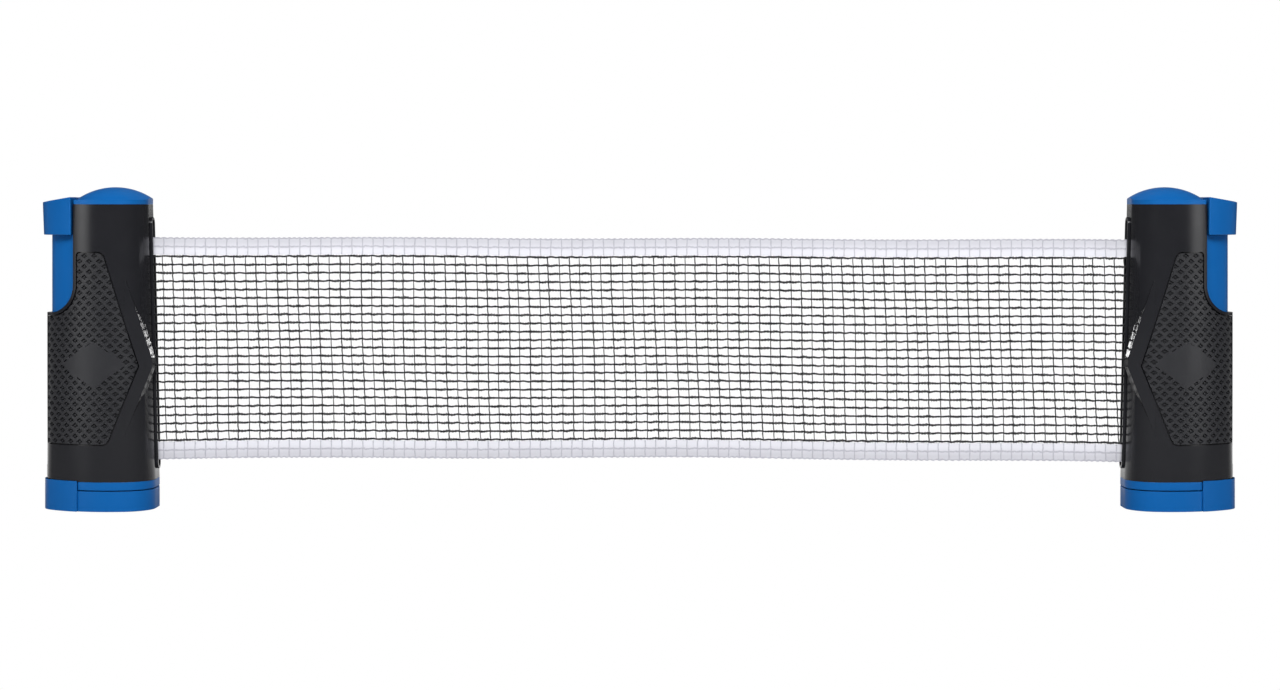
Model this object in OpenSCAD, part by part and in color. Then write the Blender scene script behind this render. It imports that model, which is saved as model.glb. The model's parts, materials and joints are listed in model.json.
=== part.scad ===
// Retractable table tennis net set: two spring clamps joined by a net that winds onto a roller.
// A clamp is drawn in its own plan: x runs outward from the tip of its net slot, y to the rear and
// z up from the underside of its lower jaw. The right clamp stands at +half_span, the left mirrors it.

/* [Net] */
// Length of net between the tips of the two slot guides
net_span = 626; // [300:1:1000]
// Height of the net with its tapes
net_h = 145; // [140:1:145]
// Height of the net's lower edge above the resting plane
net_z = 30.6; // [30.6:0.1:31]
// Height of each white edge tape
tape_h = 11.4; // [8:0.2:16]
// Thickness of the mesh cord
cord_d = 1.1; // [0.6:0.1:1.6]
// Rows of mesh openings
net_rows = 11; // [6:1:12]
// Columns of mesh openings between the clamps
net_cols = 26; // [10:1:26]

/* [Housing] */
// Height of the top of the housing, under the cap
top_z = 196.9; // [194:0.1:200]
// Height of the underside of the housing
body_z = 19; // [18:0.1:20]
// Height of the outer shoulder
shoulder_z = 127; // [120:0.5:130]
// Radius of the hollow corner above the shoulder
shoulder_r = 18; // [12:0.5:20]
// Outward lean of the inner face over its height
taper = 3; // [1:0.1:4]
// Wall thickness of the shells
wall = 2.6; // [2.2:0.1:2.8]
// Height of the cap above the housing
cap_rise = 11.1; // [9:0.1:12]

/* [Clamp] */
// Height of the lower jaw
jaw_h = 13; // [11:0.1:13]
// Gap between the closed jaws
jaw_gap = 0.6; // [0.4:0.1:1]
// Height of the underside of the press head
head_z = 177.2; // [177:0.1:179]

/* [Roller] */
// Outer radius of the roller tube
tube_r = 8; // [7.5:0.1:8.5]
// Outer radius of the net wound on the tube
roll_r = 15.7; // [12:0.1:18]
// Radius of the fixed axle
axle_r = 2.5; // [2:0.1:3]

/* [Hidden] */
$fn = 64;

blue = [0.05, 0.37, 0.68];
black = [0.17, 0.17, 0.18];
rubber = [0.10, 0.10, 0.11];
steel = [0.72, 0.72, 0.75];
natural = [0.85, 0.84, 0.80];
cord_black = [0.13, 0.13, 0.14];
tape_white = [0.90, 0.90, 0.94];

half_span = net_span / 2;
far = 60;            // more than any half depth

// Plan of the clamp: blunt inner end, full middle, round outer end, each side of three tangent arcs
face_x = 2;          // inner face of the housing, behind the tip of the slot guide
half_depth = 26;
corner_r = 20;
belly_r = 60;
end_x = 56.3;
end_r = 15.5;
corner_x = face_x + corner_r;
belly_y = half_depth - belly_r;
belly_x = end_x - sqrt(pow(belly_r - end_r, 2) - pow(belly_y, 2));
corner_y = belly_y + sqrt(pow(belly_r - corner_r, 2) - pow(belly_x - corner_x, 2));
outer_x = end_x + end_r;
flat_x = 50.7;       // flat outer face of the upper housing
split_x = 47.6;      // where the jaws end and the foot of the slider begins

upper_jaw_z = jaw_h + jaw_gap;
pad_t = 1.4;
pad_edge = 2.2;
jaw_clear = 0.3;
grip_depth = 1.4;
grip_groove = 0.35;
grip_sink = 0.45;

roller_x = 28;
roll_z = net_z;
roll_top = net_z + net_h;
floor_t = 2.6;
bridge_z = 184;
bridge_t = 3;
axle_z = body_z + 0.8;

slot_low = 27;
slot_high = 187;
slot_r = 3;
guide_r = 4.6;
guide_proud = 1;

foot_proud = 1.4;
foot_gap = 0.6;
foot_z = body_z - foot_gap;
lip_h = 1.2;
stem_inset = 3.1;
stem_t = 2.2;
stem_x = flat_x + 0.6;
head_x = flat_x + 1;
head_proud = 3;
spring_x = 58.2;
seat_z = 78;
seat_t = 3;
tongue = [14, 18, 5.6];      // of the lower jaw, into the foot
tongue_z = 3.4;

shell_screws_at = [[12, 25.6], [44, 25.6], [12, 180.3], [44, 180.3]];   // x, z
screw_seat_y = 17;
jaw_screw_y = 13;

// Corners of the grip outline seen from the front: x, z, corner radius
grip_corners = [
    [30.3, 166.4, 5], [7.9, 93.1, 2], [27.5, 42.3, 5], [70.6, 42.3, 1.5],
    [70.6, shoulder_z - 2, 1], [flat_x - 2, shoulder_z - 2, shoulder_r + 2], [flat_x - 2, 166.4, 2.5]
];
// Corners of the flat arrow beside the front grip, and its depth in plan
arrow = [[17, 136], [10.9, 121], [3.5, 101.5], [3.5, 92], [17, 55]];
arrow_plan = [[3.4, -12], [3.4, -21], [17, -24.9], [17, -12]];
badge = [[15.9, 94], [37, 79], [59, 94], [37, 109]];

function unit(v) = v / norm(v);

// Points of one rounded corner, drawn in by inset
function bend(before, at, after, r, inset) =
    let (
        back = unit(before - at),
        on = unit(after - at),
        half = acos(back * on) / 2,
        centre = at + unit(back + on) * r / sin(half),
        start = at + back * r / tan(half) - centre,
        turn = sign(cross(at - before, after - at)),
        steps = r > 10 ? 10 : 4
    )
    [for (i = [0 : steps])
        let (a = atan2(start.y, start.x) + turn * (180 - 2 * half) * i / steps)
        centre + (r - turn * inset) * [cos(a), sin(a)]];

// A closed outline of rounded corners
function rounded(corners, inset = 0) =
    let (n = len(corners), flat = [for (c = corners) [c.x, c.y]])
    [for (i = [0 : n - 1], p = bend(flat[(i + n - 1) % n], flat[i], flat[(i + 1) % n], corners[i].z, inset)) p];

module right() translate([half_span, 0, 0]) children();
module left() mirror([1, 0, 0]) right() children();

// A box between two opposite corners
module box(low, high) translate(low) cube(high - low);

// A plan shape between two heights
module rise(low, high) translate([0, 0, low]) linear_extrude(high - low) children();

// An elevation, drawn in x and z, through the whole depth
module through() rotate([90, 0, 0]) linear_extrude(2 * far, center = true) children();

// Points of an arc between two angles
function arc(centre, r, from, till, steps) =
    [for (i = [0 : steps]) let (a = from + (till - from) * i / steps) centre + r * [cos(a), sin(a)]];

function tail(points) = [for (i = [1 : len(points) - 1]) points[i]];

// Plan outline of the clamp, drawn in by inset: its rear side, then the same points in front
module plan(inset = 0) {
    at_corner = atan2(corner_y - belly_y, corner_x - belly_x);
    at_end = atan2(-belly_y, end_x - belly_x);
    side = concat(
        arc([corner_x, corner_y], corner_r - inset, 180, at_corner, 8),
        tail(arc([belly_x, belly_y], belly_r - inset, at_corner, at_end, 8)),
        tail(arc([end_x, 0], end_r - inset, at_end, 0, 6))
    );
    polygon(concat(side, [for (i = [len(side) - 2 : -1 : 0]) [side[i].x, -side[i].y]]));
}

// The part of the plan between two distances from the slot
module plan_between(low, high, inset = 0) intersection() {
    plan(inset);
    translate([low, -far]) square([high - low, 2 * far]);
}

// A wall that follows the plan, from one inset to a deeper one
module plan_wall(outer, inner) difference() {
    plan(outer);
    plan(inner);
}

// Front (side = -1) or rear (side = 1) half of what is drawn
module half(side) intersection() {
    children();
    box([-far, side < 0 ? -far : 0, -1], [2 * far, side < 0 ? 0 : far, 2 * top_z]);
}

// A drawing in y and height laid on the leaning inner face, extruded inward
module on_face() translate([face_x, 0, 0]) rotate([0, atan(taper / (top_z - body_z)), 0])
    translate([-body_z * tan(atan(taper / (top_z - body_z))), 0, 0]) rotate([90, 0, 90]) children();

// A slot with round ends
module slot_shape(r) {
    translate([-r, slot_low + slot_r]) square([2 * r, slot_high - slot_low - 2 * slot_r]);
    for (z = [slot_low + slot_r, slot_high - slot_r]) translate([0, z]) circle(r);
}

module upright(at, r, low, high) translate([at.x, at.y, low]) cylinder(r = r, h = high - low);

// A cylinder along y at x, z
module crossways(at, r, low, high) translate([at.x, low, at.y]) rotate([-90, 0, 0]) cylinder(r = r, h = high - low);

module housing_elevation() {
    polygon([[face_x, body_z], [face_x + taper, top_z], [flat_x, top_z], [flat_x, body_z]]);
    translate([flat_x - 1, body_z]) square([outer_x - flat_x + 2, shoulder_z - body_z]);
    difference() {
        translate([flat_x - 1, shoulder_z - 1]) square(shoulder_r + 1);
        translate([flat_x + shoulder_r, shoulder_z + shoulder_r]) circle(shoulder_r);
    }
}

module chambers() {
    intersection() {
        rise(body_z + floor_t, top_z + 1) plan(wall);
        through() polygon([
            [face_x + wall, body_z + floor_t], [face_x + taper + wall, top_z + 1],
            [flat_x - wall, top_z + 1], [flat_x - wall, body_z + floor_t]
        ]);
    }
    rise(body_z - 1, top_z + 1) plan_between(flat_x, outer_x, wall);
}

// Bosses, hub and bridge inside the roller chamber
module housing_inside(boss_r) intersection() {
    union() {
        for (at = shell_screws_at) crossways(at, boss_r, -far, far);
        for (y = [-jaw_screw_y, jaw_screw_y]) upright([roller_x, y], 3.6, body_z + 1, body_z + 8);
        upright([roller_x, 0], 4, body_z + 1, 28.1);
        box([10, -far, bridge_z], [flat_x - 1, far, bridge_z + bridge_t]);
    }
    rise(body_z, top_z) plan_between(face_x, flat_x - 1, wall - 1);
}

// Front (side = -1) or rear (side = 1) shell, before its screw holes
module housing(side, boss_r) difference() {
    half(side) {
        difference() {
            union() {
                intersection() {
                    rise(body_z, top_z) plan();
                    through() housing_elevation();
                }
                intersection() {
                    rise(body_z, top_z) polygon(arrow_plan);
                    through() polygon(arrow);
                }
            }
            chambers();
        }
        housing_inside(boss_r);
    }
    intersection() {
        rise(body_z, top_z) plan_wall(-5, grip_depth);
        through() polygon(rounded(grip_corners));
    }
    on_face() translate([0, 0, -3]) linear_extrude(3 + wall + 1) slot_shape(slot_r + 1);
    upright([roller_x, 0], axle_r, axle_z, bridge_z + bridge_t + 1);
    for (y = [-jaw_screw_y, jaw_screw_y]) upright([roller_x, y], 1.5, body_z - 1, body_z + 7);
    box([flat_x - wall - 1, -5.1, seat_z - 0.1], [flat_x + 1, 5.1, seat_z + seat_t + 0.1]);
}

module front_shell() color(black) difference() {
    housing(-1, 3.2);
    for (at = shell_screws_at) crossways(at, 1.25, -14, 1);
}

module rear_shell() color(black) {
    difference() {
        housing(1, 4.4);
        for (at = shell_screws_at) {
            crossways(at, 1.6, -1, screw_seat_y + 1);
            crossways(at, 2.9, screw_seat_y, far);
        }
    }
    // Rib at the foot of the outer end
    box([outer_x - 0.5, 1, body_z + 1.3], [outer_x + 0.8, 3, body_z + 9]);
}

module grip(side) color(rubber) half(side) {
    intersection() {
        rise(body_z, top_z) plan_wall(grip_sink, grip_depth);
        through() polygon(rounded(grip_corners, grip_groove));
    }
    intersection() {
        rise(body_z, top_z) plan_wall(0, grip_depth);
        through() polygon(badge);
    }
}

module top_cap() color(blue) {
    dome_x = (face_x + taper + flat_x) / 2;
    dome_r = 42;
    plug_h = 6;
    plug_gap = 0.15;
    plug_low = face_x + taper + wall + plug_gap;
    plug_high = flat_x - wall - plug_gap;
    difference() {
        union() {
            intersection() {
                rise(top_z, top_z + cap_rise) plan_between(face_x + taper, flat_x);
                translate([dome_x, 0, top_z + cap_rise - dome_r]) sphere(dome_r);
            }
            rise(top_z - plug_h, top_z + 1) plan_between(plug_low, plug_high, wall + plug_gap);
        }
        intersection() {
            rise(top_z - plug_h - 1, top_z + cap_rise) plan_between(plug_low + 1.6, plug_high - 1.6, wall + 1.8);
            translate([dome_x, 0, top_z + cap_rise - dome_r]) sphere(dome_r - 2.4);
        }
    }
}

module slot_guide() color(black) on_face() {
    translate([0, 0, -guide_proud]) linear_extrude(guide_proud) difference() {
        slot_shape(guide_r);
        slot_shape(slot_r);
    }
    linear_extrude(wall + 0.4) difference() {
        slot_shape(slot_r + 0.9);
        slot_shape(slot_r);
    }
}

module upper_jaw() color(blue) difference() {
    rise(upper_jaw_z, body_z) plan_between(face_x, split_x - jaw_clear);
    rise(upper_jaw_z - 1, upper_jaw_z + pad_t) plan_between(face_x, split_x - jaw_clear - pad_edge, pad_edge);
    for (y = [-jaw_screw_y, jaw_screw_y]) {
        upright([roller_x, y], 3.1, upper_jaw_z, upper_jaw_z + pad_t + 2);
        upright([roller_x, y], 1.6, upper_jaw_z, body_z + 1);
    }
}

module upper_jaw_pad() color(rubber) rise(upper_jaw_z, upper_jaw_z + pad_t)
    plan_between(face_x, split_x - jaw_clear - pad_edge - 0.05, pad_edge + 0.05);

module upper_jaw_screws() color(steel) for (y = [-jaw_screw_y, jaw_screw_y]) {
    upright([roller_x, y], 2.9, upper_jaw_z + pad_t + 0.1, upper_jaw_z + pad_t + 2);
    upright([roller_x, y], 1.5, upper_jaw_z + pad_t + 2, body_z + 6.5);
}

module lower_jaw() color(blue) difference() {
    union() {
        rise(0, jaw_h) plan_between(face_x, split_x);
        translate([split_x - 1, -tongue.y / 2, tongue_z]) cube([tongue.x + 1, tongue.y, tongue.z]);
    }
    rise(jaw_h - pad_t, jaw_h + 1) plan_between(face_x, split_x - jaw_clear - pad_edge, pad_edge);
    for (y = [-5, 5]) upright([split_x + 7, y], 1.25, 0, tongue_z + tongue.z - 1);
}

module lower_jaw_pad() color(rubber) rise(jaw_h - pad_t, jaw_h)
    plan_between(face_x, split_x - jaw_clear - pad_edge - 0.05, pad_edge + 0.05);

module lower_jaw_screws() color(steel) for (y = [-5, 5]) {
    upright([split_x + 7, y], 2.5, 0.2, 1.8);
    upright([split_x + 7, y], 1.25, 1.8, tongue_z + tongue.z - 1.2);
}

module clamp_slider() color(blue) difference() {
    union() {
        rise(0, foot_z) plan_between(split_x, 2 * far, -foot_proud);
        rise(foot_z, foot_z + lip_h) intersection() {
            plan_wall(-foot_proud, -0.45);
            translate([split_x, -far]) square(2 * far);
        }
        rise(foot_z, head_z - 3) intersection() {
            plan_wall(stem_inset, stem_inset + stem_t);
            translate([stem_x, -far]) square(2 * far);
        }
        rise(head_z - 3, head_z) plan_between(stem_x, 2 * far, stem_inset);
        upright([spring_x, 0], 4, head_z - 9, head_z - 3);
        intersection() {
            rise(head_z, top_z + 10) plan(-head_proud);
            through() polygon([
                [head_x, head_z], [outer_x + 2.1, head_z], [outer_x + head_proud, 198.1], [head_x, 201.6]
            ]);
        }
    }
    translate([split_x - 1, -tongue.y / 2 - 0.1, tongue_z - 0.1]) cube([tongue.x + 1.2, tongue.y + 0.2, tongue.z + 0.2]);
    for (y = [-5, 5]) {
        upright([split_x + 7, y], 2.7, -1, 1.8);
        upright([split_x + 7, y], 1.5, 0, tongue_z);
    }
}

module spring_seat() color(black) {
    box([flat_x - wall, -5, seat_z], [spring_x + 5.8, 5, seat_z + seat_t]);
    box([flat_x - wall - 1, -7, seat_z - 4], [flat_x - wall, 7, seat_z + seat_t + 4]);
    upright([spring_x, 0], 3.6, seat_z + 1, 116);
}

// A wire wound as one helix between two heights
module coil(coil_r, wire_r, low, high, turns) {
    per_turn = 12;
    sides = 6;
    rings = turns * per_turn;
    rise_by = (high - low - 2 * wire_r) / rings;
    points = [for (i = [0 : rings], k = [0 : sides - 1])
        let (a = 360 * i / per_turn, b = 360 * k / sides, r = coil_r + wire_r * cos(b))
        [r * cos(a), r * sin(a), low + wire_r + rise_by * i + wire_r * sin(b)]];
    skin = [for (i = [0 : rings - 1], k = [0 : sides - 1])
        let (p = i * sides + k, q = i * sides + (k + 1) % sides)
        each [[p, q, q + sides], [p, q + sides, p + sides]]];
    first = [for (k = [1 : sides - 2]) [0, k + 1, k]];
    last = [for (k = [1 : sides - 2]) [rings * sides, rings * sides + k, rings * sides + k + 1]];
    polyhedron(points, concat(skin, first, last));
}

module slider_spring() color(steel) translate([spring_x, 0, 0])
    coil(5.6, 0.8, seat_z + seat_t, head_z - 3, 13);

module shell_screws() color(steel) for (at = shell_screws_at) {
    crossways(at, 1.25, -13, screw_seat_y);
    difference() {
        crossways(at, 2.7, screw_seat_y, screw_seat_y + 2.2);
        translate([at.x, screw_seat_y + 1.6, at.y]) {
            cube([3.6, 2, 0.8], center = true);
            cube([0.8, 2, 3.6], center = true);
        }
    }
}

module roller_tube() color(steel) translate([roller_x, 0, 0]) difference() {
    upright([0, 0], tube_r, roll_z, roll_top);
    upright([0, 0], tube_r - 1, roll_z - 1, roll_top + 1);
}

module roller_axle() color(steel) upright([roller_x, 0], axle_r, axle_z, bridge_z + bridge_t);

module roller_spring() color(steel) translate([roller_x, 0, 0]) coil(4.8, 0.6, 45, 160, 20);

// A bush that turns on the axle: its plug fills the tube, its flange bears on the tube's end
module bush(flange_low, flange_high, plug_low, plug_high) color(natural) difference() {
    union() {
        upright([roller_x, 0], tube_r + 0.6, flange_low, flange_high);
        upright([roller_x, 0], tube_r - 1, plug_low, plug_high);
    }
    upright([roller_x, 0], axle_r + 0.05, 0, 2 * top_z);
}

module roller_top_bush() bush(roll_top, roll_top + 2.4, roll_top - 9, roll_top);
module roller_bottom_bush() bush(28.2, roll_z, roll_z, roll_z + 9);

module net_clamp_strip() color(natural) translate([roller_x, 0, roll_z + 1]) intersection() {
    difference() {
        cylinder(r = tube_r + 1, h = net_h - 2);
        translate([0, 0, -1]) cylinder(r = tube_r, h = net_h);
    }
    translate([0, -2, 0]) cube([20, 4, net_h]);
}

module net_roll() color(cord_black) translate([roller_x, 0, 0]) difference() {
    upright([0, 0], roll_r, roll_z, roll_top);
    upright([0, 0], tube_r + 1, roll_z - 1, roll_top + 1);
}

module net_anchor_rod() color(steel) right() {
    upright([roller_x, 0], 4, 28.2, 178);
    upright([roller_x, 0], axle_r, axle_z, bridge_z + bridge_t);
}

// A strip of the net: its run between the clamps, on to the anchor rod, and back to the roll
module net_strip(low, high, thick) {
    bend_x = 8;
    reach = roller_x - bend_x;
    lead_r = roll_r + 0.3 + thick / 2;
    lead = sqrt(reach * reach - lead_r * lead_r);
    box([-half_span - bend_x, -thick / 2, low], [half_span + roller_x - 4, thick / 2, high]);
    translate([-half_span - bend_x, 0, low]) rotate([0, 0, 180 - asin(lead_r / reach)])
        translate([0, -thick / 2, 0]) cube([lead, thick, high - low]);
}

module net_mesh() color(cord_black) difference() {
    low = net_z + tape_h;
    high = net_z + net_h - tape_h;
    column = net_span / net_cols;
    row = (high - low) / net_rows;
    net_strip(low, high, 0.8);
    through() for (i = [0 : net_cols - 1], k = [0 : net_rows - 1])
        translate([-half_span + i * column + cord_d / 2, low + k * row + cord_d / 2])
            square([column - cord_d, row - cord_d]);
}

module net_top_tape() color(tape_white) net_strip(net_z + net_h - tape_h, net_z + net_h, 1.4);
module net_bottom_tape() color(tape_white) net_strip(net_z, net_z + tape_h, 1.4);

left() front_shell();  // left_front_shell
left() rear_shell();  // left_rear_shell
left() grip(-1);  // left_front_grip
left() grip(1);  // left_rear_grip
left() top_cap();  // left_top_cap
left() slot_guide();  // left_slot_guide
left() upper_jaw();  // left_upper_jaw
left() upper_jaw_pad();  // left_upper_jaw_pad
left() clamp_slider();  // left_clamp_slider
left() lower_jaw();  // left_lower_jaw
left() lower_jaw_pad();  // left_lower_jaw_pad
left() slider_spring();  // left_slider_spring
left() spring_seat();  // left_spring_seat
left() shell_screws();  // left_shell_screws
left() upper_jaw_screws();  // left_upper_jaw_screws
left() lower_jaw_screws();  // left_lower_jaw_screws
right() front_shell();  // right_front_shell
right() rear_shell();  // right_rear_shell
right() grip(-1);  // right_front_grip
right() grip(1);  // right_rear_grip
right() top_cap();  // right_top_cap
right() slot_guide();  // right_slot_guide
right() upper_jaw();  // right_upper_jaw
right() upper_jaw_pad();  // right_upper_jaw_pad
right() clamp_slider();  // right_clamp_slider
right() lower_jaw();  // right_lower_jaw
right() lower_jaw_pad();  // right_lower_jaw_pad
right() slider_spring();  // right_slider_spring
right() spring_seat();  // right_spring_seat
right() shell_screws();  // right_shell_screws
right() upper_jaw_screws();  // right_upper_jaw_screws
right() lower_jaw_screws();  // right_lower_jaw_screws
left() roller_tube();
left() roller_axle();
left() roller_spring();
left() roller_top_bush();
left() roller_bottom_bush();
left() net_clamp_strip();
left() net_roll();
net_anchor_rod();
net_mesh();
net_top_tape();
net_bottom_tape();
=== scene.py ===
"""A retractable table tennis net set: two spring clamps joined by an open net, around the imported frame."""

import json
import logging
import math
import random
from collections.abc import Iterator
from contextlib import contextmanager
from dataclasses import dataclass, field
from enum import Enum

import bpy
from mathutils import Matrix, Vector

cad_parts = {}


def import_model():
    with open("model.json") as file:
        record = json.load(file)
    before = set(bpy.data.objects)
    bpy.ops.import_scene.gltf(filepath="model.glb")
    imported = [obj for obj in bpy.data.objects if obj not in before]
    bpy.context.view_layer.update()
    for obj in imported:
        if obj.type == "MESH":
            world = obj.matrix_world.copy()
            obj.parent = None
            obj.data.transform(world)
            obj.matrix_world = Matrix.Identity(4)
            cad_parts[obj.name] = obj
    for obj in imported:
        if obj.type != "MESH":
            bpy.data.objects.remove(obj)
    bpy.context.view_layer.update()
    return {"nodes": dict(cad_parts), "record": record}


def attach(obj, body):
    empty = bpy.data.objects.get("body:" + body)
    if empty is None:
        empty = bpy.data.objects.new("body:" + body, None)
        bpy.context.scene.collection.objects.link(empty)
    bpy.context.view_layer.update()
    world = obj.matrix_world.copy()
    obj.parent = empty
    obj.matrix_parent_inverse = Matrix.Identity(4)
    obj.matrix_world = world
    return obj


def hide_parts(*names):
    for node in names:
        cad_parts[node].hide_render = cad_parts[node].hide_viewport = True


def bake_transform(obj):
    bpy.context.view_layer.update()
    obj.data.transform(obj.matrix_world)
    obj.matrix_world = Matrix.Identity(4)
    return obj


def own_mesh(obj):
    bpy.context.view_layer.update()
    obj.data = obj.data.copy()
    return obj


MM = 0.001
BEYOND = 60.0  # further to the front and to the rear than any piece reaches, in millimetres
WHITE = (1.0, 1.0, 1.0, 1.0)
LOG = logging.getLogger("net_set")

Point = tuple[float, float, float]
Outline = list[tuple[float, float]]


class Side(Enum):
    """Which clamp a piece belongs to, and the sign of its place along the net."""

    LEFT = -1
    RIGHT = 1

    @property
    def label(self) -> str:
        """The word that the clamp's nodes and bodies start with."""
        return self.name.lower()


class Slot(Enum):
    """The record's material slots."""

    SHELL = "shell"
    GRIP = "grip"
    BLUE = "blue"
    PAD = "pad"
    STEEL = "steel"
    NATURAL = "natural"
    INNER = "inner_black"
    NET = "net"
    TAPE = "tape"


class Axis(Enum):
    """The axis that circles lie square to, with their turn from lying flat."""

    X = (0.0, math.pi / 2, 0.0)
    Y = (math.pi / 2, 0.0, 0.0)


class Join(Enum):
    """What happens to a piece when a second solid is put to it."""

    ADD = "UNION"
    CUT = "DIFFERENCE"
    KEEP = "INTERSECT"


# ---------------------------------------------------------------- finishes


class NodeTree:
    """The node tree of a material or a world, with short ways to add and link nodes."""

    def __init__(self, owner: bpy.types.Material | bpy.types.World) -> None:
        """Turns on the nodes of a new material or world.

        Args:
            owner: What the nodes belong to.
        """
        owner.use_nodes = True
        self.owner = owner
        self.tree = owner.node_tree
        self.shader = self.tree.nodes.get("Principled BSDF")

    def add(self, kind: str, **values: object) -> bpy.types.Node:
        """Adds a node.

        Args:
            kind: The node's type.
            **values: Socket values by socket name, or node properties.

        Returns:
            The new node.
        """
        node = self.tree.nodes.new(kind)
        for name, value in values.items():
            socket = name.replace("_", " ")
            if socket in node.inputs:
                node.inputs[socket].default_value = value
            else:
                setattr(node, name, value)
        return node

    def link(self, source: bpy.types.NodeSocket, target: bpy.types.NodeSocket) -> None:
        """Links two sockets."""
        self.tree.links.new(source, target)

    def coordinates(self, kind: str = "Object") -> bpy.types.NodeSocket:
        """Gives a texture coordinate output by name."""
        return self.add("ShaderNodeTexCoord").outputs[kind]

    def parts(self, vector: bpy.types.NodeSocket) -> tuple[bpy.types.NodeSocket, ...]:
        """Splits a vector output into X, Y and Z."""
        node = self.add("ShaderNodeSeparateXYZ")
        self.link(vector, node.inputs["Vector"])
        return tuple(node.outputs)

    def math(self, operation: str, *values: bpy.types.NodeSocket | float) -> bpy.types.NodeSocket:
        """Adds a math node.

        Args:
            operation: The node's operation.
            *values: Its inputs, each an output to link or a number.

        Returns:
            The result.
        """
        node = self.add("ShaderNodeMath", operation=operation)
        for socket, value in zip(node.inputs, values):
            if isinstance(value, bpy.types.NodeSocket):
                self.link(value, socket)
            else:
                socket.default_value = value
        return node.outputs["Value"]

    def noise(self, vector: bpy.types.NodeSocket, scale: float, detail: float = 3.0) -> bpy.types.NodeSocket:
        """Adds a noise texture and gives its value output."""
        node = self.add("ShaderNodeTexNoise", Scale=scale, Detail=detail)
        self.link(vector, node.inputs["Vector"])
        return node.outputs["Fac"]

    def between(
        self, factor: bpy.types.NodeSocket, low: tuple[float, float], high: tuple[float, float]
    ) -> bpy.types.NodeSocket:
        """Maps a value from one range to another.

        Args:
            factor: The value to map.
            low: Where the source range starts, and what it becomes there.
            high: Where the source range ends, and what it becomes there.

        Returns:
            The mapped value.
        """
        node = self.add("ShaderNodeMapRange")
        self.link(factor, node.inputs["Value"])
        node.inputs["From Min"].default_value, node.inputs["To Min"].default_value = low
        node.inputs["From Max"].default_value, node.inputs["To Max"].default_value = high
        return node.outputs["Result"]

    def mix(
        self,
        factor: bpy.types.NodeSocket,
        first: tuple[float, ...] | bpy.types.NodeSocket,
        second: tuple[float, ...] | bpy.types.NodeSocket,
    ) -> bpy.types.NodeSocket:
        """Mixes two colours, each a constant or an output, by a value and gives the colour output."""
        node = self.add("ShaderNodeMix", data_type="RGBA")
        self.link(factor, node.inputs["Factor"])
        colours = {"A": first, "B": second}
        for socket in node.inputs:
            colour = colours.get(socket.name) if socket.type == "RGBA" else None
            if isinstance(colour, tuple):
                socket.default_value = (*colour, 1.0)
            elif colour is not None:
                self.link(colour, socket)
        return next(s for s in node.outputs if s.type == "RGBA")

    def bump(self, height: bpy.types.NodeSocket, strength: float, distance: float) -> None:
        """Drives the shader's normal from a height."""
        node = self.add("ShaderNodeBump", Strength=strength, Distance=distance)
        self.link(height, node.inputs["Height"])
        self.link(node.outputs["Normal"], self.shader.inputs["Normal"])

    def show(self, light: bpy.types.NodeSocket, seen: bpy.types.NodeSocket, output: bpy.types.Node) -> None:
        """Shows one surface to the light and another to the camera.

        Args:
            light: The shader that lights and is reflected.
            seen: The shader that the camera sees.
            output: The tree's output node.
        """
        mix = self.add("ShaderNodeMixShader")
        self.link(self.add("ShaderNodeLightPath").outputs["Is Camera Ray"], mix.inputs["Fac"])
        self.link(light, mix.inputs[1])
        self.link(seen, mix.inputs[2])
        self.link(mix.outputs["Shader"], output.inputs["Surface"])


@dataclass(frozen=True)
class MouldedPlastic:
    """Moulded plastic: an even colour with a fine spark-eroded grain and slight wear of its gloss."""

    name: str
    colour: tuple[float, float, float]
    worn: tuple[float, float, float]
    roughness: tuple[float, float]
    grain_scale: float = 2600.0
    grain_depth: float = 0.02
    specular: float = 0.5
    cloud_scale: float = 28.0
    wear_scale: float = 75.0

    def make(self) -> bpy.types.Material:
        """Builds the material."""
        nodes = NodeTree(bpy.data.materials.new(self.name))
        where = nodes.coordinates()
        cloud = nodes.noise(where, self.cloud_scale)
        nodes.link(nodes.mix(cloud, self.colour, self.worn), nodes.shader.inputs["Base Color"])
        handled = nodes.noise(where, self.wear_scale, 5.0)
        low, high = self.roughness
        nodes.link(nodes.between(handled, (0.3, low), (0.7, high)), nodes.shader.inputs["Roughness"])
        nodes.shader.inputs["Specular IOR Level"].default_value = self.specular
        nodes.bump(nodes.noise(where, self.grain_scale, 2.0), 0.35, self.grain_depth * MM)
        return nodes.owner


@dataclass(frozen=True)
class BrushedMetal:
    """Plated steel with fine lines along its length."""

    name: str
    colour: tuple[float, float, float]
    roughness: float
    line_scale: Point = (900.0, 900.0, 40.0)

    def make(self) -> bpy.types.Material:
        """Builds the material."""
        nodes = NodeTree(bpy.data.materials.new(self.name))
        stretch = nodes.add("ShaderNodeMapping", Scale=self.line_scale)
        nodes.link(nodes.coordinates(), stretch.inputs["Vector"])
        lines = nodes.noise(stretch.outputs["Vector"], 1.0)
        dark = tuple(c * 0.7 for c in self.colour)
        nodes.link(nodes.mix(lines, self.colour, dark), nodes.shader.inputs["Base Color"])
        gloss = nodes.between(lines, (0.3, self.roughness), (0.7, self.roughness + 0.15))
        nodes.link(gloss, nodes.shader.inputs["Roughness"])
        nodes.shader.inputs["Metallic"].default_value = 1.0
        return nodes.owner


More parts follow.
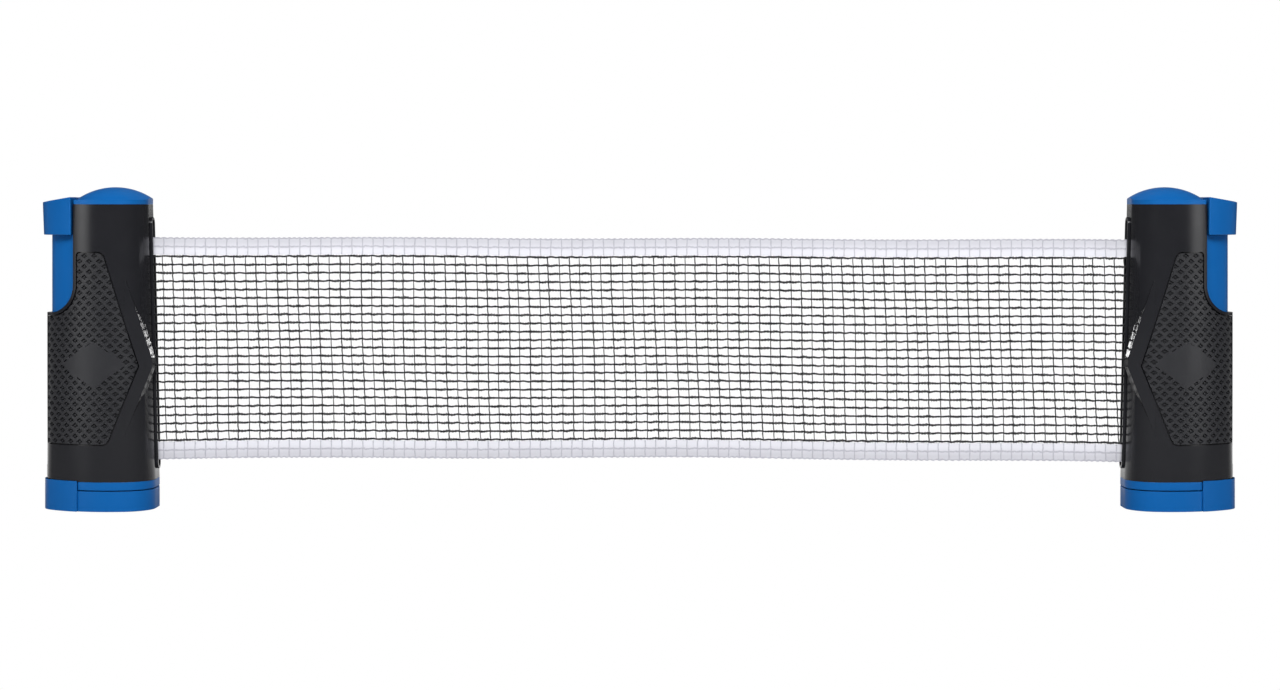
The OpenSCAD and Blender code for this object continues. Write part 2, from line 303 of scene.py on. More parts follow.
@dataclass(frozen=True)
class TwistedCord:
    """Dull twisted cord: strands wind round it, seen in colour and height, by the piece's own UV map."""

    name: str
    colour: tuple[float, float, float]
    fibre: tuple[float, float, float]

    def make(self) -> bpy.types.Material:
        """Builds the material."""
        nodes = NodeTree(bpy.data.materials.new(self.name))
        place = nodes.coordinates("UV")
        turn = nodes.add("ShaderNodeTexWave", Scale=1.0, Distortion=1.2, Detail=2.0)
        turn.bands_direction = "DIAGONAL"
        nodes.link(place, turn.inputs["Vector"])
        nodes.link(nodes.mix(turn.outputs["Fac"], self.colour, self.fibre), nodes.shader.inputs["Base Color"])
        nodes.shader.inputs["Roughness"].default_value = 0.85
        nodes.shader.inputs["Sheen Weight"].default_value = 0.15
        nodes.shader.inputs["Specular IOR Level"].default_value = 0.2
        nodes.bump(turn.outputs["Fac"], 0.6, 0.15 * MM)
        return nodes.owner


@dataclass(frozen=True)
class SheerTape:
    """Thin white tape sewn double over the edge of the net, with the cords showing through it as grey lines.

    U counts columns of the mesh along the net and V runs from the outer edge, 0, to the inner edge, 1.
    """

    name: str = "sheer_white_tape"
    outer: tuple[float, float, float] = (0.60, 0.60, 0.65)
    inner: tuple[float, float, float] = (0.76, 0.76, 0.82)
    shade: tuple[float, float, float] = (0.34, 0.335, 0.40)
    line_width: float = 0.085
    edge_width: float = 0.075
    level_lines: tuple[float, float] = (0.52, 0.03)
    wobble: float = 0.09

    @staticmethod
    def line(nodes: NodeTree, value: bpy.types.NodeSocket, at: float, width: float) -> bpy.types.NodeSocket:
        """Gives 1 on a line at one value and 0 away from it.

        Args:
            nodes: The tree to add to.
            value: The coordinate.
            at: Where the line is.
            width: The line's half width.

        Returns:
            The line's strength.
        """
        gap = nodes.math("ABSOLUTE", nodes.math("SUBTRACT", value, at))
        return nodes.between(gap, (0.0, 1.0), (width, 0.0))

    def make(self) -> bpy.types.Material:
        """Builds the material."""
        nodes = NodeTree(bpy.data.materials.new(self.name))
        place = nodes.coordinates("UV")
        along, inward, _ = nodes.parts(place)
        shift = nodes.between(nodes.noise(place, 2.2), (0.0, -self.wobble), (1.0, self.wobble))
        column = nodes.math("FRACT", nodes.math("ADD", along, shift))
        across = nodes.math("ADD", inward, shift)
        drawn = self.line(nodes, column, 0.5, self.line_width)
        for at in self.level_lines:
            drawn = nodes.math("MAXIMUM", drawn, self.line(nodes, across, at, self.edge_width))
        weave = nodes.between(nodes.noise(place, 14.0, 4.0), (0.3, 0.45), (0.65, 1.0))
        patchy = nodes.math("MULTIPLY", drawn, weave)
        cloth = nodes.mix(nodes.between(inward, (0.25, 0.0), (0.75, 1.0)), self.outer, self.inner)
        nodes.link(nodes.mix(patchy, cloth, self.shade), nodes.shader.inputs["Base Color"])
        nodes.shader.inputs["Roughness"].default_value = 0.8
        nodes.shader.inputs["Sheen Weight"].default_value = 0.3
        nodes.bump(patchy, 0.5, 0.25 * MM)
        return nodes.owner


@dataclass(frozen=True)
class Finishes:
    """Every finish of the set, under its slot's name."""

    shell: MouldedPlastic = MouldedPlastic(
        "black_shell", (0.0138, 0.0141, 0.0168), (0.0160, 0.0164, 0.0195), (0.15, 0.22), specular=0.3
    )
    grip: MouldedPlastic = MouldedPlastic(
        "soft_grip", (0.0170, 0.0174, 0.0205), (0.0220, 0.0225, 0.0262), (0.34, 0.46), 1800.0, 0.05, 0.4
    )
    blue: MouldedPlastic = MouldedPlastic(
        "blue_plastic", (0.0045, 0.110, 0.375), (0.0060, 0.121, 0.400), (0.28, 0.40), specular=0.12
    )
    pad: MouldedPlastic = MouldedPlastic(
        "pad_rubber", (0.010, 0.010, 0.011), (0.018, 0.018, 0.019), (0.65, 0.85), 1500.0, 0.06
    )
    natural: MouldedPlastic = MouldedPlastic(
        "natural_acetal", (0.66, 0.64, 0.58), (0.72, 0.70, 0.64), (0.30, 0.45)
    )
    inner_black: MouldedPlastic = MouldedPlastic(
        "inner_plastic", (0.020, 0.020, 0.022), (0.030, 0.030, 0.033), (0.45, 0.60)
    )
    steel: BrushedMetal = BrushedMetal("plated_steel", (0.62, 0.62, 0.64), 0.28)
    net: TwistedCord = TwistedCord("net_cord", (0.006, 0.006, 0.007), (0.034, 0.033, 0.037))
    tape: SheerTape = SheerTape()

    def make(self) -> dict[Slot, bpy.types.Material]:
        """Builds every material.

        Returns:
            The materials by slot.
        """
        return {slot: getattr(self, slot.value).make() for slot in Slot}


# ---------------------------------------------------------------- modelling tools


class Bench:
    """Modelling steps shared by the pieces. Sizes are in millimetres, and the meshes made are in metres."""

    @staticmethod
    def clear() -> None:
        """Leaves edit mode and deselects everything."""
        if bpy.context.object and bpy.context.object.mode != "OBJECT":
            bpy.ops.object.mode_set(mode="OBJECT")
        bpy.ops.object.select_all(action="DESELECT")

    @staticmethod
    def pick(piece: bpy.types.Object) -> None:
        """Selects one object alone and makes it active."""
        Bench.clear()
        piece.select_set(True)
        bpy.context.view_layer.objects.active = piece

    @staticmethod
    @contextmanager
    def editing(piece: bpy.types.Object) -> Iterator[None]:
        """Opens a piece in edit mode, with all of it selected, for the operators of a with block."""
        Bench.pick(piece)
        bpy.ops.object.mode_set(mode="EDIT")
        bpy.ops.mesh.select_all(action="SELECT")
        yield
        bpy.ops.object.mode_set(mode="OBJECT")

    @staticmethod
    def face_out(piece: bpy.types.Object) -> bpy.types.Object:
        """Turns a closed piece's faces outward and gives the piece back."""
        with Bench.editing(piece):
            bpy.ops.mesh.normals_make_consistent(inside=False)
        return piece

    @staticmethod
    def dress(piece: bpy.types.Object, material: bpy.types.Material) -> None:
        """Gives a piece one material in place of what it has."""
        piece.data.materials.clear()
        piece.data.materials.append(material)

    @staticmethod
    def sew(name: str, points: list[Point], faces: list[tuple[int, ...]]) -> bpy.types.Object:
        """Makes an object from its points and the faces between them."""
        mesh = bpy.data.meshes.new(name)
        mesh.from_pydata(points, [], faces)
        piece = bpy.data.objects.new(name, mesh)
        bpy.context.scene.collection.objects.link(piece)
        return piece

    @staticmethod
    def hull(rings: list[tuple[Point, float, int]], axis: Axis) -> bpy.types.Object:
        """Makes a closed convex solid round several circles.

        Args:
            rings: Each circle's centre, radius and number of points, in millimetres.
            axis: The axis that the circles lie square to.

        Returns:
            The new object.
        """
        Bench.clear()
        for index, (centre, radius, points) in enumerate(rings):
            place = tuple(value * MM for value in centre)
            bpy.ops.mesh.primitive_circle_add(
                vertices=points, radius=radius * MM, location=place, rotation=axis.value
            )
            if index == 0:
                bpy.ops.object.transform_apply(location=True, rotation=True, scale=True)
                bpy.ops.object.mode_set(mode="EDIT")
        bpy.ops.object.mode_set(mode="OBJECT")
        piece = bpy.context.object
        with Bench.editing(piece):
            bpy.ops.mesh.convex_hull(join_triangles=True)
            bpy.ops.mesh.select_all(action="SELECT")
            bpy.ops.mesh.dissolve_limited(angle_limit=math.radians(0.2))
        return Bench.face_out(piece)

    @staticmethod
    def box(low: Point, high: Point) -> bpy.types.Object:
        """Makes a box between two opposite corners, in millimetres."""
        Bench.clear()
        centre = [(a + b) / 2 * MM for a, b in zip(low, high)]
        bpy.ops.mesh.primitive_cube_add(size=1.0, location=centre)
        piece = bpy.context.object
        piece.scale = [(b - a) * MM for a, b in zip(low, high)]
        bpy.ops.object.transform_apply(location=True, rotation=True, scale=True)
        return piece

    @staticmethod
    def slab(outline: Outline, low: float, high: float) -> bpy.types.Object:
        """Makes a prism through the depth from an outline seen from the front.

        Args:
            outline: The corners in x and z, in millimetres, anticlockwise as seen from the front.
            low: The y where it starts.
            high: The y where it ends.

        Returns:
            The new object.
        """
        Bench.clear()
        bpy.ops.mesh.primitive_circle_add(vertices=len(outline), radius=MM, fill_type="NGON")
        piece = bpy.context.object
        for vertex, (x, z) in zip(piece.data.vertices, outline):
            vertex.co = (x * MM, low * MM, z * MM)
        with Bench.editing(piece):
            bpy.ops.mesh.extrude_region_move(TRANSFORM_OT_translate={"value": (0.0, (high - low) * MM, 0.0)})
        return Bench.face_out(piece)

    @staticmethod
    def slice(piece: bpy.types.Object, point: Point, normal: Point) -> bpy.types.Object:
        """Cuts away what lies beyond a plane and closes the cut.

        Args:
            piece: The object to cut.
            point: A point on the plane, in millimetres.
            normal: The side that goes, as a direction with no component above 1.

        Returns:
            The same object.
        """
        place = [value * MM for value in point]
        with Bench.editing(piece):
            bpy.ops.mesh.bisect(plane_co=place, plane_no=normal, use_fill=True, clear_outer=True)
        return piece

    @staticmethod
    def combine(piece: bpy.types.Object, tool: bpy.types.Object, join: Join) -> bpy.types.Object:
        """Cuts, joins or crosses a piece with a tool, which is used up.

        Args:
            piece: The piece to change.
            tool: The other solid.
            join: What is done with the two.

        Returns:
            The same object.
        """
        Bench.pick(piece)
        modifier = piece.modifiers.new("combine", "BOOLEAN")
        modifier.object = tool
        modifier.operation = join.value
        modifier.solver = "MANIFOLD"
        bpy.ops.object.modifier_apply(modifier=modifier.name)
        bpy.data.objects.remove(tool)
        return piece

    @staticmethod
    def copy(piece: bpy.types.Object) -> bpy.types.Object:
        """Copies an object with its own mesh."""
        twin = piece.copy()
        twin.data = piece.data.copy()
        bpy.context.scene.collection.objects.link(twin)
        return twin

    @staticmethod
    def soften(
        piece: bpy.types.Object, width: float, segments: int = 2, angle: float = 30.0
    ) -> bpy.types.Object:
        """Rounds a piece's sharp edges.

        Args:
            piece: The piece.
            width: The width of the rounding, in millimetres.
            segments: Its number of strips.
            angle: The least angle between faces that counts as sharp, in degrees.

        Returns:
            The same object.
        """
        with Bench.editing(piece):
            bpy.ops.mesh.remove_doubles(threshold=0.01 * MM)
            bpy.ops.mesh.dissolve_limited(angle_limit=math.radians(0.3))
        modifier = piece.modifiers.new("soften", "BEVEL")
        modifier.width = width * MM
        modifier.segments = segments
        modifier.limit_method = "ANGLE"
        modifier.angle_limit = math.radians(angle)
        modifier.use_clamp_overlap = True
        modifier.harden_normals = False
        bpy.ops.object.modifier_apply(modifier=modifier.name)
        return piece

    @staticmethod
    def smooth(piece: bpy.types.Object, angle: float = 32.0) -> bpy.types.Object:
        """Shades a piece smooth but for its sharp edges, its large faces flat up to their rounding."""
        Bench.pick(piece)
        bpy.ops.object.shade_smooth_by_angle(angle=math.radians(angle))
        weight = piece.modifiers.new("weight", "WEIGHTED_NORMAL")
        weight.keep_sharp = True
        weight.weight = 90
        bpy.ops.object.modifier_apply(modifier=weight.name)
        return piece


@dataclass(frozen=True)
class ClampPlan:
    """The plan outline of a clamp, in millimetres: x outward from the tip of its net slot, y to the rear."""

    face_x: float = 0.6
    half_depth: float = 26.0
    corner_r: float = 20.0
    belly_r: float = 60.0
    end_x: float = 56.3
    end_r: float = 15.5
    flat_x: float = 50.7
    split_x: float = 47.6

    @property
    def outer_x(self) -> float:
        """Where the round outer end ends."""
        return self.end_x + self.end_r

    @property
    def belly(self) -> Vector:
        """The centre of the wide arc of the rear side."""
        y = self.half_depth - self.belly_r
        return Vector((self.end_x - math.sqrt((self.belly_r - self.end_r) ** 2 - y * y), y))

    @property
    def corner(self) -> Vector:
        """The centre of the rear inner corner."""
        x, across = self.face_x + self.corner_r, self.belly_r - self.corner_r
        return Vector((x, self.belly.y + math.sqrt(across**2 - (self.belly.x - x) ** 2)))

    def arcs(self) -> list[tuple[Vector, float, float, float, int]]:
        """Gives the rear side's arcs from the inner end on: centre, radius, first and last angle, steps."""
        end = Vector((self.end_x, 0.0))
        to_corner, to_end = self.corner - self.belly, end - self.belly
        first, last = math.atan2(to_corner.y, to_corner.x), math.atan2(to_end.y, to_end.x)
        return [
            (self.corner, self.corner_r, math.pi, first, 24),
            (self.belly, self.belly_r, first, last, 24),
            (end, self.end_r, last, 0.0, 16),
        ]

    def outline(self, inset: float, lean: float) -> Outline:
        """Gives the outline's points.

        Args:
            inset: How far the outline is drawn in.
            lean: How far the inner end stands outward.

        Returns:
            The points, once round.
        """
        side: Outline = []
        for centre, radius, first, last, steps in self.arcs():
            for step in range(steps if last else steps + 1):
                angle = first + (last - first) * step / steps
                x = centre.x + (radius - inset) * math.cos(angle)
                y = centre.y + (radius - inset) * math.sin(angle)
                share = max(0.0, (self.belly.x - x) / (self.belly.x - self.face_x))
                side.append((x + lean * share, y))
        return side + [(x, -y) for x, y in side[-2::-1]]

    def solid(
        self, levels: list[tuple[float, float]], lean: tuple[float, float] = (0.0, 0.0)
    ) -> bpy.types.Object:
        """Makes the plan's solid.

        Args:
            levels: Heights and how far the plan is drawn in at each, in millimetres.
            lean: How far the inner end stands outward at the first and at the last level.

        Returns:
            The new object.
        """
        rings = []
        for index, (height, inset) in enumerate(levels):
            points = self.outline(inset, lean[0] + (lean[1] - lean[0]) * index / (len(levels) - 1))
            Bench.clear()
            bpy.ops.mesh.primitive_circle_add(vertices=len(points), radius=MM)
            ring = bpy.context.object
            for vertex, (x, y) in zip(ring.data.vertices, points):
                vertex.co = (x * MM, y * MM, height * MM)
            rings.append(ring)
        Bench.pick(rings[0])
        for ring in rings[1:]:
            ring.select_set(True)
        bpy.ops.object.join()
        with Bench.editing(rings[0]):
            bpy.ops.mesh.bridge_edge_loops()
            bpy.ops.mesh.select_all(action="SELECT")
            bpy.ops.mesh.fill_holes(sides=0)
        return Bench.face_out(rings[0])

    def edge(self, inset: float, length: float) -> Vector:
        """Follows the front of the outline from the blunt inner end to the round outer end.

        Args:
            inset: How far the outline is drawn in.
            length: The distance along the outline at no inset, from the middle of the inner end.

        Returns:
            The point there, in millimetres.
        """
        left = length - self.corner.y
        if left < 0:
            return Vector((self.face_x + inset, -length))
        for centre, radius, first, last, _ in self.arcs():
            span = radius * (first - last)
            if left <= span or not last:
                break
            left -= span
        angle, reach = first - left / radius, radius - inset
        return Vector((centre.x + reach * math.cos(angle), -centre.y - reach * math.sin(angle)))


def rounded(corners: list[tuple[float, float, float]], inset: float = 0.0) -> Outline:
    """Rounds the corners of an outline and draws it in.

    Args:
        corners: Each corner's x, z and radius, in one turning sense, in millimetres.
        inset: How far the outline is drawn in.

    Returns:
        The outline's points.
    """
    points: Outline = []
    count = len(corners)
    for index, (x, z, radius) in enumerate(corners):
        here = Vector((x, z))
        back = (Vector(corners[index - 1][:2]) - here).normalized()
        on = (Vector(corners[(index + 1) % count][:2]) - here).normalized()
        half = math.acos(back.dot(on)) / 2
        centre = here + (back + on).normalized() * radius / math.sin(half)
        start = here + back * radius / math.tan(half) - centre
        turn = math.copysign(1.0, -back.x * on.y + back.y * on.x)
        reach = radius - turn * inset
        steps = 14 if radius > 10 else 5
        for step in range(steps + 1):
            angle = math.atan2(start.y, start.x) + turn * (math.pi - 2 * half) * step / steps
            points.append((centre.x + reach * math.cos(angle), centre.y + reach * math.sin(angle)))
    return points


# ---------------------------------------------------------------- the clamp


@dataclass
class Clamp:
    """One spring clamp, modelled once in its own plan and placed on both sides.

    Lengths are in millimetres, and heights are above the flat under the lower jaw.
    """

    plan: ClampPlan = field(default_factory=ClampPlan)
    half_span: float = 313.0
    body_z: float = 19.0
    top_z: float = 196.9
    taper: float = 4.4
    wall: float = 2.6
    shoulder_z: float = 127.0
    shoulder_r: float = 18.0
    cap_rise: float = 11.1
    cap_lip: float = 2.9
    dome_r: float = 42.0
    arrow_block: tuple[Point, Point] = ((-6.0, -27.0, 48.0), (17.0, -15.0, 148.0))
    arrow_at: tuple[float, float] = (3.4, -21.3)
    arrow_slope: float = 0.287
    arrow_front: Point = (-0.276, -0.961, 0.0)
    arrow_fall: Point = (-0.2, 0.95, 0.0)
    grip_depth: float = 2.0
    grip_groove: float = 0.9
    lattice_at: tuple[float, float] = (15.0, 38.0)
    lattice_size: tuple[float, float] = (84.0, 132.0)
    lattice_pitch: float = 6.8
    pit_depth: float = 1.25
    stud_top: float = 0.14
    badge_out: float = 0.05
    badge_back: float = 1.2
    head_z: float = 177.2
    head_block_z: float = 202.0
    head_crown: tuple[float, float] = (201.6, 198.1)
    head_out: tuple[float, float] = (2.1, 3.0)
    head_gap: float = 1.0
    stem_gap: float = 0.6
    stem_in: float = 3.1
    stem_wall: float = 2.2
    stem_z: float = 17.0
    foot_floor: float = 18.4
    foot_rim: float = 1.2
    foot_out: float = 1.4
    foot_gap: float = 0.45
    seam: float = 0.3
    jaw_h: float = 13.0
    jaw_gap: float = 0.6
    pad_t: float = 1.4
    pad_edge: float = 2.2
    slot_low: float = 27.0
    slot_high: float = 187.0
    slot_r: float = 3.0
    rim_w: float = 1.6
    rim_out: float = 1.6
    sleeve_w: float = 0.9
    spring_at: tuple[float, float, float] = (58.2, 81.0, 174.2)
    spring_r: float = 5.6
    spring_wire_r: float = 0.8
    spring_turns: int = 13
    press_travel: float = 37.0
    screws_at: tuple[tuple[float, float], ...] = ((12.0, 25.6), (44.0, 25.6), (12.0, 180.3), (44.0, 180.3))
    well_r: float = 2.9

    @property
    def grip_corners(self) -> list[tuple[float, float, float]]:
        """The grip panel's corners seen from the front, with their radii."""
        edge = self.plan.flat_x - 2
        low = self.shoulder_z - 2
        return [
            (30.3, 166.4, 5.0), (7.9, 93.1, 2.0), (27.5, 42.3, 5.0), (70.6, 42.3, 1.5),
            (70.6, low, 1.0), (edge, low, self.shoulder_r + 2), (edge, 166.4, 2.5),
        ]

    @property
    def notch_corners(self) -> list[tuple[float, float, float]]:
        """The corners, with their radii, of what is cut from the body above the shoulder."""
        side, end, top = self.plan.flat_x, 100.0, 240.0
        return [
            (side, top, 1.0), (side, self.shoulder_z, self.shoulder_r),
            (end, self.shoulder_z, 1.0), (end, top, 1.0),
        ]

    @property
    def arrow(self) -> Outline:
        """The outer edge of the flat arrow beside the front grip, from the top down, seen from the front."""
        return [(16.0, 148.2), (0.3, 98.4), (0.3, 91.9), (17.0, 47.8)]

    @property
    def badge(self) -> Outline:
        """The bare rhombus on the grip, seen from the front."""
        return [(15.9, 94.0), (37.0, 79.0), (59.0, 94.0), (37.0, 109.0)]

    def lean_normal(self) -> Point:
        """The outward normal of the leaning inner face."""
        slope = self.taper / (self.top_z - self.body_z)
        return (-1.0, 0.0, slope)

    def stadium(self, radius: float, start: float, end: float) -> bpy.types.Object:
        """Makes a solid with the slot's shape, between two distances along the net."""
        rings = [
            ((x, 0.0, z), radius, 48)
            for x in (start, end)
            for z in (self.slot_low + self.slot_r, self.slot_high - self.slot_r)
        ]
        return Bench.hull(rings, Axis.X)

    def leaning_stadium(self, radius: float, out: float, back: float) -> bpy.types.Object:
        """Makes a solid with the slot's shape and with ends parallel to the leaning inner face.

        Args:
            radius: The radius of its round ends.
            out: How far it stands out of the inner face, in millimetres.
            back: How far it goes into the clamp.

        Returns:
            The new object.
        """
        piece, face_x = self.stadium(radius, -8, 12), self.plan.face_x
        x, y, z = self.lean_normal()
        Bench.slice(piece, (face_x - out, 0, self.body_z), (x, y, z))
        return Bench.slice(piece, (face_x + back, 0, self.body_z), (-x, -y, -z))

    def core(self, inset: float) -> bpy.types.Object:
        """Makes a solid of the body's height with its plan drawn in, to cut what lies on the body's face."""
        return self.plan.solid([(self.body_z, inset), (self.top_z, inset)])

    def arrow_band(self) -> bpy.types.Object:
        """Models the flat arrow beside the front grip, its walls falling away toward the net."""
        x, y = self.arrow_at
        band = Bench.box(*self.arrow_block)
        Bench.slice(band, (x, y, 0), self.arrow_front)
        corners = [Vector((at, y - self.arrow_slope * (at - x), z)) for at, z in self.arrow]
        for first, last in zip(corners, corners[1:]):
            Bench.slice(band, tuple(first), tuple(Vector(self.arrow_fall).cross(last - first).normalized()))
        return Bench.soften(band, 0.2, 2, 12)

    def shells(self) -> dict[str, bpy.types.Object]:
        """Models the front and the rear shell."""
        plan, wall = self.plan, self.wall
        over, under = self.top_z + 2, self.body_z - 2
        body = plan.solid([(self.body_z, 0.0), (self.top_z, 0.0)], (0.0, self.taper))
        Bench.combine(body, self.arrow_band(), Join.ADD)
        Bench.combine(body, Bench.slab(rounded(self.notch_corners), -BEYOND, BEYOND), Join.CUT)
        roller_room = plan.solid([(self.body_z + wall, wall), (over, wall)], (0.0, self.taper))
        Bench.slice(roller_room, (plan.flat_x - wall, 0, 0), (1, 0, 0))
        slider_room = plan.solid([(under, wall), (over, wall)])
        Bench.slice(slider_room, (plan.flat_x, 0, 0), (-1, 0, 0))
        recess = Bench.slab(rounded(self.grip_corners), -BEYOND, BEYOND)
        Bench.combine(recess, self.core(self.grip_depth), Join.CUT)
        for room in (roller_room, slider_room, self.stadium(self.slot_r + 1, -4, 10), recess):
            Bench.combine(body, room, Join.CUT)
        rear = Bench.copy(body)
        Bench.slice(body, (0, -0.05, 0), (0, 1, 0))
        Bench.slice(rear, (0, 0.05, 0), (0, -1, 0))
        for x, z in self.screws_at:
            well = Bench.hull([((x, y, z), self.well_r, 32) for y in (17.0, 40.0)], Axis.Y)
            Bench.combine(rear, well, Join.CUT)
        end, low = plan.outer_x, self.body_z
        rib = Bench.box((end - 0.5, 1.0, low + 1.3), (end + 0.8, 3.0, low + 9))
        Bench.combine(rear, rib, Join.ADD)
        return {"front_shell": Bench.soften(body, 0.3), "rear_shell": Bench.soften(rear, 0.3)}

    def grip(self) -> bpy.types.Object:
        """Models the front grip: a lattice of ridges round studded pits, and the bare rhombus on it."""
        sheet = self.lattice()
        outline = Bench.slab(rounded(self.grip_corners, self.grip_groove), -BEYOND, -1)
        Bench.combine(sheet, outline, Join.KEEP)
        plate = Bench.slab(self.badge, -BEYOND, -1)
        Bench.combine(plate, self.core(-self.badge_out), Join.KEEP)
        Bench.combine(plate, self.core(self.badge_back), Join.CUT)
        return Bench.combine(sheet, Bench.soften(plate, 0.25), Join.ADD)

    def lattice(self) -> bpy.types.Object:
        """Models the sheet of diamonds flat, closes it behind and bends it onto the front of the plan."""
        pitch, (start, low), (length, height) = self.lattice_pitch, self.lattice_at, self.lattice_size
        points, sides = self.diamond()
        verts: list[Point] = []
        faces: list[tuple[int, ...]] = []
        for row in range(int(2 * height / pitch) + 1):
            for column in range(int(length / pitch) + 1):
                x, z = start + (column + 0.5 * (row % 2)) * pitch, low + row * pitch / 2
                first = len(verts)
                verts.extend((x + along, z + up, depth) for along, up, depth in points)
                faces.extend(tuple(first + index for index in side) for side in sides)
        piece = Bench.sew("lattice", verts, faces)
        with Bench.editing(piece):
            bpy.ops.mesh.remove_doubles(threshold=0.01)
            bpy.ops.mesh.normals_make_consistent(inside=False)
            bpy.ops.mesh.extrude_region()
        back = self.grip_depth + 0.02
        for vertex in piece.data.vertices:
            point = self.plan.edge(back if vertex.select else vertex.co.z, vertex.co.x)
            vertex.co = (point.x * MM, point.y * MM, vertex.co.y * MM)
        return Bench.face_out(piece)

    def diamond(self) -> tuple[list[Point], list[tuple[int, ...]]]:
        """Gives one diamond of the lattice: ring within ring, from the ridge down to the pit and up its stud.

        Returns:
            Its points as distance along the outline, height and depth, in millimetres, and its faces.
        """
        half = self.lattice_pitch / 2
        rings = [
            (1.0, 1.0, 0.04), (0.84, 0.76, 0.0), (0.72, 0.50, 0.08), (0.58, 0.36, self.pit_depth),
            (0.28, 0.22, self.pit_depth), (0.21, 0.16, 0.30), (0.12, 0.09, self.stud_top),
        ]
        verts: list[Point] = []
        for wide, high, depth in rings:
            x, z = half * wide, half * high
            verts += [(x, 0.0, depth), (0.0, z, depth), (-x, 0.0, depth), (0.0, -z, depth)]
        last = 4 * (len(rings) - 1)
        faces = [
            (ring + k, ring + (k + 1) % 4, ring + 4 + (k + 1) % 4, ring + 4 + k)
            for ring in range(0, last, 4)
            for k in range(4)
        ]
        return verts, [*faces, (last, last + 1, last + 2, last + 3)]

    def cap(self) -> bpy.types.Object:
        """Models the domed cap."""
        low, high, crown = self.plan.face_x + self.taper, self.plan.flat_x, self.top_z + self.cap_rise
        cap = self.plan.solid([(self.top_z, 0.0), (crown + 1, 0.0)], (self.taper, self.taper))
        Bench.slice(cap, (high - 0.5, 0, 0), (1, 0, 0))
        Bench.clear()
        centre = ((low + high) / 2 * MM, 0.0, (crown - self.dome_r) * MM)
        bpy.ops.mesh.primitive_uv_sphere_add(
            segments=128, ring_count=96, radius=self.dome_r * MM, location=centre
        )
        dome = bpy.context.object
        bpy.ops.object.transform_apply(location=True, rotation=True, scale=True)
        lip = Bench.box((-40, -BEYOND, 150), (100, BEYOND, self.top_z + self.cap_lip))
        Bench.combine(cap, Bench.combine(dome, lip, Join.ADD), Join.KEEP)
        return Bench.soften(cap, 0.9, 3, 25)

    def slider(self) -> bpy.types.Object:
        """Models the press head, its stem and the foot in one."""
        plan, floor, bore_in = self.plan, self.foot_floor, self.stem_in + self.stem_wall
        stem_x, head_x = plan.flat_x + self.stem_gap, plan.flat_x + self.head_gap
        foot = plan.solid([(0, -self.foot_out), (floor + self.foot_rim, -self.foot_out)])
        Bench.slice(foot, (plan.split_x, 0, 0), (-1, 0, 0))
        body_room = plan.solid([(floor, -self.foot_gap), (self.shoulder_z, -self.foot_gap)])
        Bench.combine(foot, body_room, Join.CUT)
        stem = plan.solid([(self.stem_z, self.stem_in), (self.head_z + 1, self.stem_in)])
        Bench.slice(stem, (stem_x, 0, 0), (-1, 0, 0))
        bore = plan.solid([(floor, bore_in), (self.head_z - 3, bore_in)])
        Bench.slice(bore, (stem_x - 1, 0, 0), (-1, 0, 0))
        Bench.combine(stem, bore, Join.CUT)
        low_out, high_out = self.head_out
        head = plan.solid([(self.head_z, -low_out), (self.head_block_z, -high_out)])
        Bench.slice(head, (head_x, 0, 0), (-1, 0, 0))
        inner, outer = self.head_crown
        slope = (inner - outer) / (plan.outer_x + high_out - head_x)
        Bench.slice(head, (head_x, 0, inner), (slope, 0, 1))
        Bench.combine(stem, Bench.soften(foot, 0.6), Join.ADD)
        return Bench.combine(stem, Bench.soften(head, 0.9, 3, 25), Join.ADD)

    def jaws(self) -> dict[str, bpy.types.Object]:
        """Models the upper and the lower jaw with their pad pockets."""
        plan, split, pad = self.plan, self.plan.split_x, self.pad_t
        inner, upper = split - self.seam, self.jaw_h + self.jaw_gap
        made = {}
        for name, low, high, end, pocket in (
            ("upper_jaw", upper, self.body_z, inner, (0.0, upper + pad)),
            ("lower_jaw", 0.0, self.jaw_h, split, (self.jaw_h - pad, self.body_z)),
        ):
            jaw = Bench.slice(plan.solid([(low, 0.0), (high, 0.0)]), (end, 0, 0), (1, 0, 0))
            room = plan.solid([(height, self.pad_edge) for height in pocket])
            Bench.slice(room, (inner - self.pad_edge, 0, 0), (1, 0, 0))
            made[name] = Bench.soften(Bench.combine(jaw, room, Join.CUT), 0.5)
        return made

    def guide(self) -> bpy.types.Object:
        """Models the raised rim round the net slot, with a sleeve through the wall."""
        rim = self.leaning_stadium(self.slot_r + self.rim_w, self.rim_out, 0.0)
        sleeve = self.leaning_stadium(self.slot_r + self.sleeve_w, 0.5, 3.0)
        Bench.combine(rim, sleeve, Join.ADD)
        Bench.combine(rim, self.stadium(self.slot_r, -12, 16), Join.CUT)
        return Bench.soften(rim, 0.4)

    def spring(self) -> bpy.types.Object:
        """Models the compression spring under the press head as one wire wound upward."""
        x, low, high = self.spring_at
        wire = self.spring_wire_r
        start = (self.spring_r * MM, 0.0, (low + wire) * MM)
        Bench.clear()
        bpy.ops.mesh.primitive_circle_add(
            vertices=8, radius=wire * MM, location=start, rotation=Axis.Y.value
        )
        coil = bpy.context.object
        bpy.ops.object.transform_apply(location=True, rotation=True, scale=True)
        winding = coil.modifiers.new("winding", "SCREW")
        winding.iterations = self.spring_turns
        winding.screw_offset = (high - low - 2 * wire) / self.spring_turns * MM
        winding.steps = winding.render_steps = 20
        winding.use_merge_vertices = False
        bpy.ops.object.modifier_apply(modifier=winding.name)
        for vertex in coil.data.vertices:
            vertex.co.x += x * MM
        with Bench.editing(coil):
            bpy.ops.mesh.fill_holes(sides=0)
        return Bench.face_out(coil)

    def press(self, piece: bpy.types.Object) -> None:
        """Gives a placed spring its own mesh."""
        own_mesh(piece)

